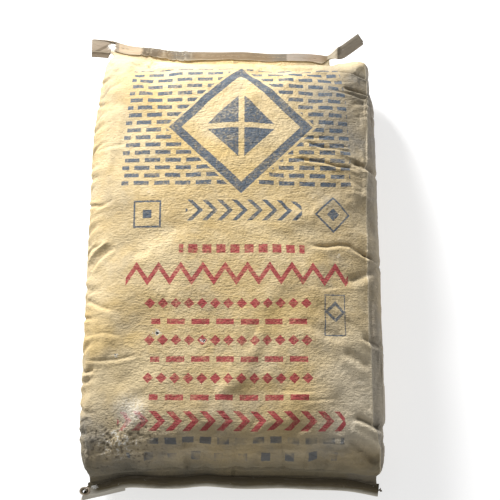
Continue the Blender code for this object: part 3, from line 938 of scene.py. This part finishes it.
BLUE_INK = (0.072, 0.100, 0.138, 1.0)
RED_INK = (0.37, 0.040, 0.055, 1.0)
KRAFT = (0.57, 0.42, 0.20, 1.0)
KRAFT_PALE = (0.70, 0.56, 0.33, 1.0)
KRAFT_GOLD = (0.60, 0.42, 0.155, 1.0)
KRAFT_GREY = (0.27, 0.240, 0.190, 1.0)
SHADE_GREY = (0.140, 0.125, 0.100, 1.0)
# painted shade for the slope down to the foot's seam
HEM_SHADE = (0.125, 0.110, 0.070, 1.0)
DUST = (0.74, 0.71, 0.63, 1.0)
PITS = (0.26, 0.20, 0.12, 1.0)
LINE_PALE = (0.60, 0.52, 0.38, 1.0)
PANEL_GREY = (0.260, 0.236, 0.205, 1.0)
# painted shade and dirt, for the creases and the crumples' hollows
CREASE_SHADE_AND_GRIME = (0.085, 0.070, 0.050, 1.0)
NICK_DARK = (0.05, 0.045, 0.04, 1.0)
PRINT_STRAY = 0.0014  # how far the edge of the print wanders, and how soft it is
PRINT_EDGE = 0.0004
WEAVE_PITCH = 0.0025
# Where the paper is nicked through, and how far each nick reaches
NICKS = ((-0.101, -0.127, 0.0060), (-0.039, -0.138, 0.0045), (-0.156, -0.156, 0.0045))


def blue_print(ink):
    mark_x, mark_y, mark_reach = 0.010, 0.170, 0.108
    field = ink.bricks(0.078, 0.272, -0.158, 0.166, 0.0118, 0.0290, 0.0062, 0.0215)
    big = ink.diamond(mark_x, mark_y, mark_reach)
    frame_line = ink.outline(ink.diamond(mark_x, mark_y, 0.094), 0.0125)
    gap = ink.s.less(ink.s.least(ink.off(ink.u, mark_x), ink.off(ink.v, mark_y)), 0.0040)
    core = ink.without(ink.diamond(mark_x, mark_y, 0.052), gap)
    hatch = ink.chevrons(0.028, 0.058, -0.066, 0.094, 0.0205, 0.0070)
    left_mark = ink.any(ink.outline(ink.box(-0.137, -0.101, 0.020, 0.056), 0.0026),
                        ink.box(-0.125, -0.113, 0.032, 0.044))
    right_mark = ink.any(ink.outline(ink.diamond(0.138, 0.038, 0.024), 0.0026),
                         ink.diamond(0.138, 0.038, 0.009))
    small_frame = ink.any(ink.outline(ink.box(0.124, 0.152, -0.131, -0.075), 0.0016),
                          ink.outline(ink.diamond(0.138, -0.098, 0.012), 0.0040))
    return ink.any(ink.without(field, big), frame_line, core, hatch, left_mark, right_mark, small_frame)


def faded_print(ink):
    return ink.any(ink.dashes(-0.272, -0.264, -0.150, 0.148, 0.0230, 0.0150),
                   ink.dashes(-0.290, -0.282, -0.142, 0.140, 0.0310, 0.0120))


def red_print(ink):
    rows = [ink.dashes(-0.018, -0.006, -0.074, 0.098, 0.0190, 0.0125)]
    rows.append(ink.zigzag(-0.0465, 0.0110, -0.146, 0.158, 0.0300, 0.0105))
    for number in range(6):
        top = -0.080 - 0.0251 * number
        if number % 2:
            rows.append(ink.dashes(top - 0.0115, top - 0.0040, -0.110, 0.104, 0.0330, 0.0240))
        else:
            rows.append(ink.beads(top - 0.0150, top - 0.0005, -0.112, 0.110, 0.0176))
    rows.append(ink.chevrons(-0.256, -0.231, -0.158, 0.150, 0.0220, 0.0095))
    return ink.any(*rows)


def kraft_material():
    s = Shading("printed_kraft")
    spot = s.node("ShaderNodeTexCoord").outputs["Object"]
    sleeve = s.node("ShaderNodeUVMap", uv_map="sleeve").outputs[0]
    u, v, _ = s.split(sleeve)
    x, y, z = s.split(spot)

    # colour of the bare sleeve, with painted shade and painted light on it
    cloud = s.noise(spot, 9.0, 4.0, 0.6)
    mottle = s.noise(spot, 55.0, 4.0, 0.65)
    streak = s.noise(sleeve, (55.0, 260.0, 1.0), 3.0, 0.6)
    pebble = s.noise(sleeve, (300.0, 420.0, 1.0), 3.0, 0.6)
    s.colour = s.mix(s.ease(s.add(cloud, s.times(mottle, 0.5)), 0.55, 0.95), KRAFT, KRAFT_PALE)
    s.paint(s.times(s.ease(streak, 0.42, 0.75), 0.4), KRAFT_PALE)
    gold = s.noise(spot, (7.0, 12.0, 7.0), 3.0, 0.6)
    s.paint(s.ease(gold, 0.46, 0.70, 0.0, 0.65), KRAFT_GOLD)
    s.paint(s.ease(pebble, 0.46, 0.30, 0.0, 0.34), PITS)
    dirt = s.noise(spot, 14.0, 5.0, 0.65)
    # greyer to the right, towards the foot, at the upper left and in dirty patches: partly dirt, partly
    # painted shade on the right and at the foot, which turn away from the light
    right = s.times(s.ease(x, 0.04, 0.19, 0.0, 0.92), s.ease(y, -0.06, 0.16, 0.42, 1.0))
    low = s.ease(y, -0.16, -0.30, 0.0, 0.60)
    corner = s.times(s.ease(x, -0.05, -0.16, 0.0, 0.45), s.ease(y, -0.20, -0.28))
    left = s.times(s.ease(x, -0.10, -0.17), s.ease(y, 0.10, 0.27, 0.17, 0.52))
    soil_and_shade = s.most(right, left, s.add(low, corner))
    soil_and_shade = s.add(soil_and_shade, s.ease(dirt, 0.48, 0.78, 0.0, 0.45))
    soil_and_shade = s.times(soil_and_shade, s.ease(dirt, 0.25, 0.60, 0.5, 1.0))
    s.paint(soil_and_shade, KRAFT_GREY)
    shade = s.times(s.ease(x, 0.12, 0.17), s.ease(y, 0.08, 0.20, 0.0, 0.34), s.ease(y, 0.285, 0.250))
    s.paint(shade, SHADE_GREY)
    # painted light: paler round the valve corner's shoulder, to lift the shade where its surface falls away
    # from the light
    shoulder_highlight = s.distance(spot, (0.176, 0.306, 0.100))
    s.paint(s.ease(shoulder_highlight, 0.052, 0.012, 0.0, 0.60), KRAFT_PALE)
    haze = s.times(s.ease(x, 0.08, 0.15), s.ease(y, -0.08, -0.22, 0.0, 0.34), s.ease(y, -0.290, -0.262))
    s.paint(haze, DUST)
    # painted shade on the steep slope down to the foot's seam, which turns away from the light
    shaded_hem = s.times(s.ease(y, -0.268, -0.300), s.ease(z, 0.105, 0.075))
    s.paint(s.times(shaded_hem, 0.62), HEM_SHADE)
    beyond, shade_and_grime, curls = s.attribute("beyond"), s.attribute("shade_and_grime"), s.attribute("curls")
    panel = s.times(s.ease(beyond, 0.0002, 0.0018), s.ease(x, 0.15, 0.16),
                    s.ease(z, 0.030, 0.085, 0.34, 0.62), s.ease(dirt, 0.30, 0.62, 0.75, 1.15))
    s.paint(panel, PANEL_GREY)
    # painted shade and dirt along the creases, pinches and side folds
    s.paint(s.times(s.ease(shade_and_grime, 0.05, 0.85), 0.72), CREASE_SHADE_AND_GRIME)

    # the print, worn by rubbing
    ink = Ink(s, u, v)
    ragged = s.noise(spot, 420.0, 2.0)
    wear = s.noise(spot, 260.0, 4.0, 0.7)
    rub = s.noise(spot, 22.0, 3.0, 0.6)
    keep = s.ease(s.add(wear, s.times(rub, 0.45)), 0.96, 0.66, 0.55, 1.0)
    face = s.ease(z, 0.055, 0.075)
    blue = s.times(s.ease(s.stray(blue_print(ink), ragged, PRINT_STRAY), PRINT_EDGE, -PRINT_EDGE), keep)
    faded = s.ease(s.stray(faded_print(ink), ragged, PRINT_STRAY), 0.0006, -0.0006)
    faded = s.times(faded, s.ease(rub, 0.62, 0.42, 0.0, 0.75))
    blue = s.times(s.most(blue, faded), face)
    red = s.ease(s.stray(red_print(ink), ragged, PRINT_STRAY), PRINT_EDGE, -PRINT_EDGE)
    red = s.times(red, keep, face)
    s.paint(s.times(blue, 0.95), BLUE_INK)
    s.paint(s.times(red, 0.92), RED_INK)

    # cement dust, with a rubbed pale smear near the foot's left, and painted shade in the crumples' hollows
    dust = s.noise(spot, 38.0, 6.0, 0.75)
    s.paint(s.ease(dust, 0.64, 0.78, 0.0, 0.65), DUST)
    line = s.ease(s.math("ABSOLUTE", beyond), 0.0011, 0.0004)
    line = s.times(line, s.ease(s.noise(spot, (8.0, 30.0, 8.0), 3.0, 0.6), 0.28, 0.46, 0.45, 0.90))
    s.paint(line, LINE_PALE)
    s.paint(s.ease(curls, 0.45, 0.85, 0.0, 0.80), DUST)
    # painted shade in the crumples' hollows
    s.paint(s.ease(curls, -0.05, -0.50, 0.0, 0.55), CREASE_SHADE_AND_GRIME)
    smear = s.ease(s.distance(spot, (-0.136, -0.229, 0.13)), 0.034, 0.006)
    smear = s.times(smear, s.ease(pebble, 0.40, 0.55, 0.25, 1.0))
    s.paint(s.times(smear, 0.7), DUST)
    grains = s.noise(spot, 330.0, 3.0, 0.6)
    crumbs = s.stray(s.distance(spot, (-0.188, 0.338, 0.052)), grains, 0.012)
    s.paint(s.ease(crumbs, 0.0090, 0.0050), DUST)
    for nick_x, nick_y, reach in NICKS:
        away = s.distance(s.scaled(spot, (1.0, 1.6, 0.25)), (nick_x, nick_y * 1.6, 0.034))
        away = s.stray(away, grains, 0.019)
        s.paint(s.ease(away, reach, reach * 0.6), DUST)
        s.paint(s.ease(away, reach * 0.55, reach * 0.30), NICK_DARK)

    # the weave under the paper, its pebbled crinkles and its grain
    warp, weft = (s.math("PINGPONG", value, WEAVE_PITCH / 2) for value in (u, v))
    weave = s.times(s.most(warp, weft), 160.0)
    crinkle = s.noise(sleeve, (130.0, 420.0, 1.0), 4.0, 0.62)
    coarse = s.noise(spot, 150.0, 3.0, 0.55)
    grain = s.noise(spot, 900.0, 3.0, 0.7)
    relief = s.add(s.times(crinkle, 0.7), s.times(pebble, 0.75))
    relief = s.add(relief, s.add(s.times(weave, 0.08), s.times(grain, 0.2)), s.times(coarse, 1.2))
    pressed = s.most(s.ease(x, -0.20, -0.06, 0.55, 1.0), s.ease(y, -0.19, -0.23))
    relief = s.times(relief, pressed)
    return s.surface(Base_Color=s.colour, Roughness=0.78, Specular_IOR_Level=0.25,
                     Normal=s.bump(relief, 1.0, 0.0017))


TAPE_PINK = (0.50, 0.39, 0.27, 1.0)
TAPE_ROSE = (0.335, 0.255, 0.185, 1.0)
TAPE_BROWN = (0.225, 0.165, 0.100, 1.0)
TAPE_DARK = (0.130, 0.100, 0.066, 1.0)
TAPE_LILAC = (0.350, 0.300, 0.250, 1.0)
TAPE_GREY = (0.185, 0.160, 0.125, 1.0)
TAPE_PALE = (0.46, 0.40, 0.30, 1.0)
TAIL_BROWN = (0.285, 0.230, 0.170, 1.0)
FOOT_BROWN = (0.155, 0.124, 0.070, 1.0)
# painted shade on the foot's tape next to the bag and in its curl
FOOT_TAPE_SHADE = (0.078, 0.062, 0.036, 1.0)
FOOT_PALE = (0.720, 0.670, 0.560, 1.0)
TAIL_GREY = (0.150, 0.130, 0.102, 1.0)
# pale tape, raised as painted light for the stub and tip in the bag's shadow
CREAM = (0.950, 0.890, 0.770, 1.0)
FLAKE = (0.85, 0.83, 0.78, 1.0)
# The head tape's colour from its left end to its right, each from where it begins, and its fade. The pale
# band from 0.1425 is painted light on the facet beside the pinch.
HEAD_COLOURS = ((-0.230, 0.0, TAIL_BROWN), (-0.1795, 0.001, TAPE_PINK), (-0.144, 0.003, TAPE_DARK),
                (-0.116, 0.008, TAPE_BROWN), (-0.098, 0.008, TAPE_GREY), (-0.068, 0.010, TAPE_BROWN),
                (0.058, 0.012, TAPE_GREY), (0.0795, 0.0015, TAPE_LILAC), (0.112, 0.014, TAPE_ROSE),
                (0.134, 0.006, TAPE_BROWN), (0.1425, 0.0015, TAPE_PALE), (0.158, 0.001, TAIL_GREY))


def crepe_material():
    s = Shading("crepe_paper_tape")
    spot = s.node("ShaderNodeTexCoord").outputs["Object"]
    strip = s.node("ShaderNodeUVMap", uv_map="strip").outputs[0]
    along, off, _ = s.split(strip)
    across = s.math("ABSOLUTE", off)
    x, y, _ = s.split(spot)
    cloud = s.noise(strip, (28.0, 90.0, 1.0), 4.0, 0.6)
    lines = s.noise(strip, (12.0, 900.0, 1.0), 3.0, 0.6)
    wander = s.stray(x, cloud, 0.012)
    s.colour = HEAD_COLOURS[0][2]
    for begins, fade, shade in HEAD_COLOURS[1:]:
        place = x if fade < 0.002 else wander
        s.paint(s.ease(place, begins - fade, begins + fade), shade)
    kinks = s.noise(strip, (190.0, 70.0, 1.0), 3.0, 0.6)
    crumpled = s.times(s.ease(x, -0.148, -0.140), s.ease(x, -0.060, -0.072))
    s.paint(s.times(crumpled, s.ease(kinks, 0.50, 0.68, 0.0, 0.55)), TAPE_PALE)
    s.paint(s.times(crumpled, s.ease(kinks, 0.46, 0.32, 0.0, 0.60)), TAPE_DARK)
    s.paint(s.ease(cloud, 0.52, 0.74, 0.0, 0.35), TAPE_PALE)
    s.paint(s.ease(across, 0.0070, 0.0020, 0.0, 0.35), TAPE_GREY)
    sewn = s.times(s.ease(x, 0.156, 0.150), s.ease(x, -0.184, -0.178))
    edge = s.times(s.ease(across, 0.0128, 0.0150), sewn)
    s.paint(s.times(edge, 0.55), TAPE_PALE)

    # the left tail, with painted shade: a dark strip along its free edge, where its back half lies in
    # shadow, and a dark fold up to the front flap's end, a painted shadow in the wedge there
    left = s.ease(x, -0.1775, -0.1795)
    # painted shade in the strip along the tail's free edge
    under = s.times(left, s.ease(across, 0.0215, 0.0225))
    s.paint(s.times(under, 0.85), TAPE_DARK)
    # painted shadow in the wedge up to the front flap's end
    slope = s.add(x, s.times(across, 1.5))
    fold = s.times(s.ease(slope, -0.1870, -0.1840), s.ease(slope, -0.1770, -0.1790))
    s.paint(s.times(fold, left, 0.8), TAPE_DARK)
    rim = s.ease(s.math("ABSOLUTE", s.less(across, 0.0215)), 0.0007, 0.0002)
    s.paint(s.times(rim, left, 0.8), TAPE_PALE)

    # the foot's tape, with painted shade: dark next to the bag, where the bag shades it, paler towards its
    # fold, with grey dusty clouds
    foot = s.ease(y, -0.10, -0.12)
    uneven = s.stray(across, cloud, 0.006)
    band = s.mix(s.ease(uneven, 0.0005, 0.0070), FOOT_PALE, FOOT_BROWN)
    band = s.mix(s.ease(uneven, 0.0070, 0.0130), band, FOOT_TAPE_SHADE)
    band = s.mix(s.ease(cloud, 0.50, 0.72, 0.0, 0.40), band, TAPE_GREY)
    # the tip and the stub past the free edge in cream: their pale tape, made paler still as painted light
    # where the bag's shadow falls on them
    tip = s.times(s.ease(x, -0.184, -0.196), s.ease(across, 0.0120, 0.0060))
    band = s.mix(s.most(s.times(tip, 0.8), s.ease(across, 0.025, 0.026)), band, CREAM)
    # painted shade in the curl's hollow and along its rolled inner turns
    hollow = s.distance(s.scaled(spot, (1.0, 1.0, 0.0)), (CURL_X, CURL_Y, 0.0))
    band = s.mix(s.ease(hollow, 0.0050, 0.0040), band, FOOT_TAPE_SHADE)
    rolled = s.mix(s.ease(along, 0.018, 0.024), TAIL_BROWN, FOOT_TAPE_SHADE)
    band = s.mix(s.ease(across, 0.045, 0.046), band, rolled)
    s.paint(foot, band)
    s.paint(s.times(s.ease(lines, 0.45, 0.7), 0.30), TAPE_DARK)

    grains = s.noise(spot, 190.0, 4.0, 0.8)
    s.paint(s.ease(grains, 0.66, 0.74, 0.0, 0.8), FLAKE)
    for place, reach in (((-0.1915, 0.3380, 0.052), 0.0065), ((-0.190, -0.3235, 0.040), 0.0040)):
        away = s.stray(s.distance(spot, place), grains, 0.020)
        s.paint(s.ease(away, reach, reach * 0.5), FLAKE)

    crepe = s.noise(strip, (900.0, 160.0, 1.0), 3.0, 0.6)
    fold = s.noise(strip, (70.0, 240.0, 1.0), 3.0, 0.55)
    relief = s.add(s.times(crepe, 0.35), fold)
    return s.surface(Base_Color=s.colour, Roughness=0.82, Specular_IOR_Level=0.2,
                     Normal=s.bump(relief, 0.8, 0.0008))


COTTON = (0.30, 0.235, 0.155, 1.0)
COTTON_PALE = (0.38, 0.305, 0.215, 1.0)
# painted shade, so the foot's threads match its shaded tape
COTTON_SHADED = (0.150, 0.120, 0.080, 1.0)


def thread_material():
    s = Shading("cotton_thread")
    spot = s.node("ShaderNodeTexCoord").outputs["Object"]
    cloud = s.noise(spot, 60.0, 3.0, 0.6)
    cotton_tone = s.mix(cloud, COTTON, COTTON_PALE)
    # painted shade: the threads at the foot are darker, like the shaded tape they lie on
    colour = s.mix(s.ease(s.split(spot)[1], -0.10, -0.12), cotton_tone, COTTON_SHADED)
    twist = s.node("ShaderNodeTexWave", {"Vector": spot, "Scale": 420.0}, bands_direction="DIAGONAL")
    return s.surface(Base_Color=colour, Roughness=0.75, Normal=s.bump(twist.outputs[1], 0.6, 0.0002))


WHITE = (1.0, 1.0, 1.0, 1.0)


def floor_material():
    s = Shading("pale_floor")
    return s.surface(Base_Color=(0.65, 0.65, 0.65, 1.0), Roughness=0.9,
                     Emission_Color=WHITE, Emission_Strength=0.58)


sack = make_sack()
sack.data.materials.append(kraft_material())

crepe = crepe_material()
for tape, node in ((make_head_tape(), "head_tape"), (make_foot_tape(), "foot_tape")):
    tape.data.materials.append(crepe)
    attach(tape, "root")
    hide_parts(node)

cotton = thread_material()
for thread, node in ((make_head_stitching(), "head_stitching"), (make_foot_stitching(), "foot_stitching")):
    thread.data.materials.append(cotton)
    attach(thread, "root")
    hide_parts(node)

# Floor, light and camera
bpy.ops.object.select_all(action="DESELECT")
bpy.ops.mesh.primitive_plane_add(size=8.0, location=(0.0, 0.0, -0.0005))
floor = bpy.context.object
floor.name = "floor"
floor.data.materials.append(floor_material())

TARGET = Vector((0.023, 0.005, 0.070))
DISTANCE = 1.364
TILT = math.radians(16.0)
camera_data = bpy.data.cameras.new("camera")
camera_data.lens = 68.5
camera = add_object("camera", camera_data)
camera.rotation_euler = (TILT, 0.0, 0.0)
camera.location = TARGET - DISTANCE * Vector((0.0, math.sin(TILT), -math.cos(TILT)))
bpy.context.scene.camera = camera


def add_lamp(name, size, energy, place, target):
    data = bpy.data.lights.new(name, "AREA")
    data.size, data.energy = size, energy
    lamp = add_object(name, data)
    lamp.location = place
    lamp.rotation_euler = (Vector(target) - Vector(place)).to_track_quat("-Z", "Y").to_euler()


add_lamp("key", 0.45, 62.0, (-0.72, 1.40, 0.82), (0.0, 0.0, 0.0))
add_lamp("fill", 0.30, 2.6, (1.25, 0.30, 0.17), (0.20, 0.0, 0.07))

world = bpy.data.worlds.new("studio")
bpy.context.scene.world = world
world.use_nodes = True
backdrop = world.node_tree.nodes["Background"]
backdrop.inputs["Color"].default_value = WHITE
backdrop.inputs["Strength"].default_value = 0.34

bpy.context.scene.view_settings.view_transform = "Standard"
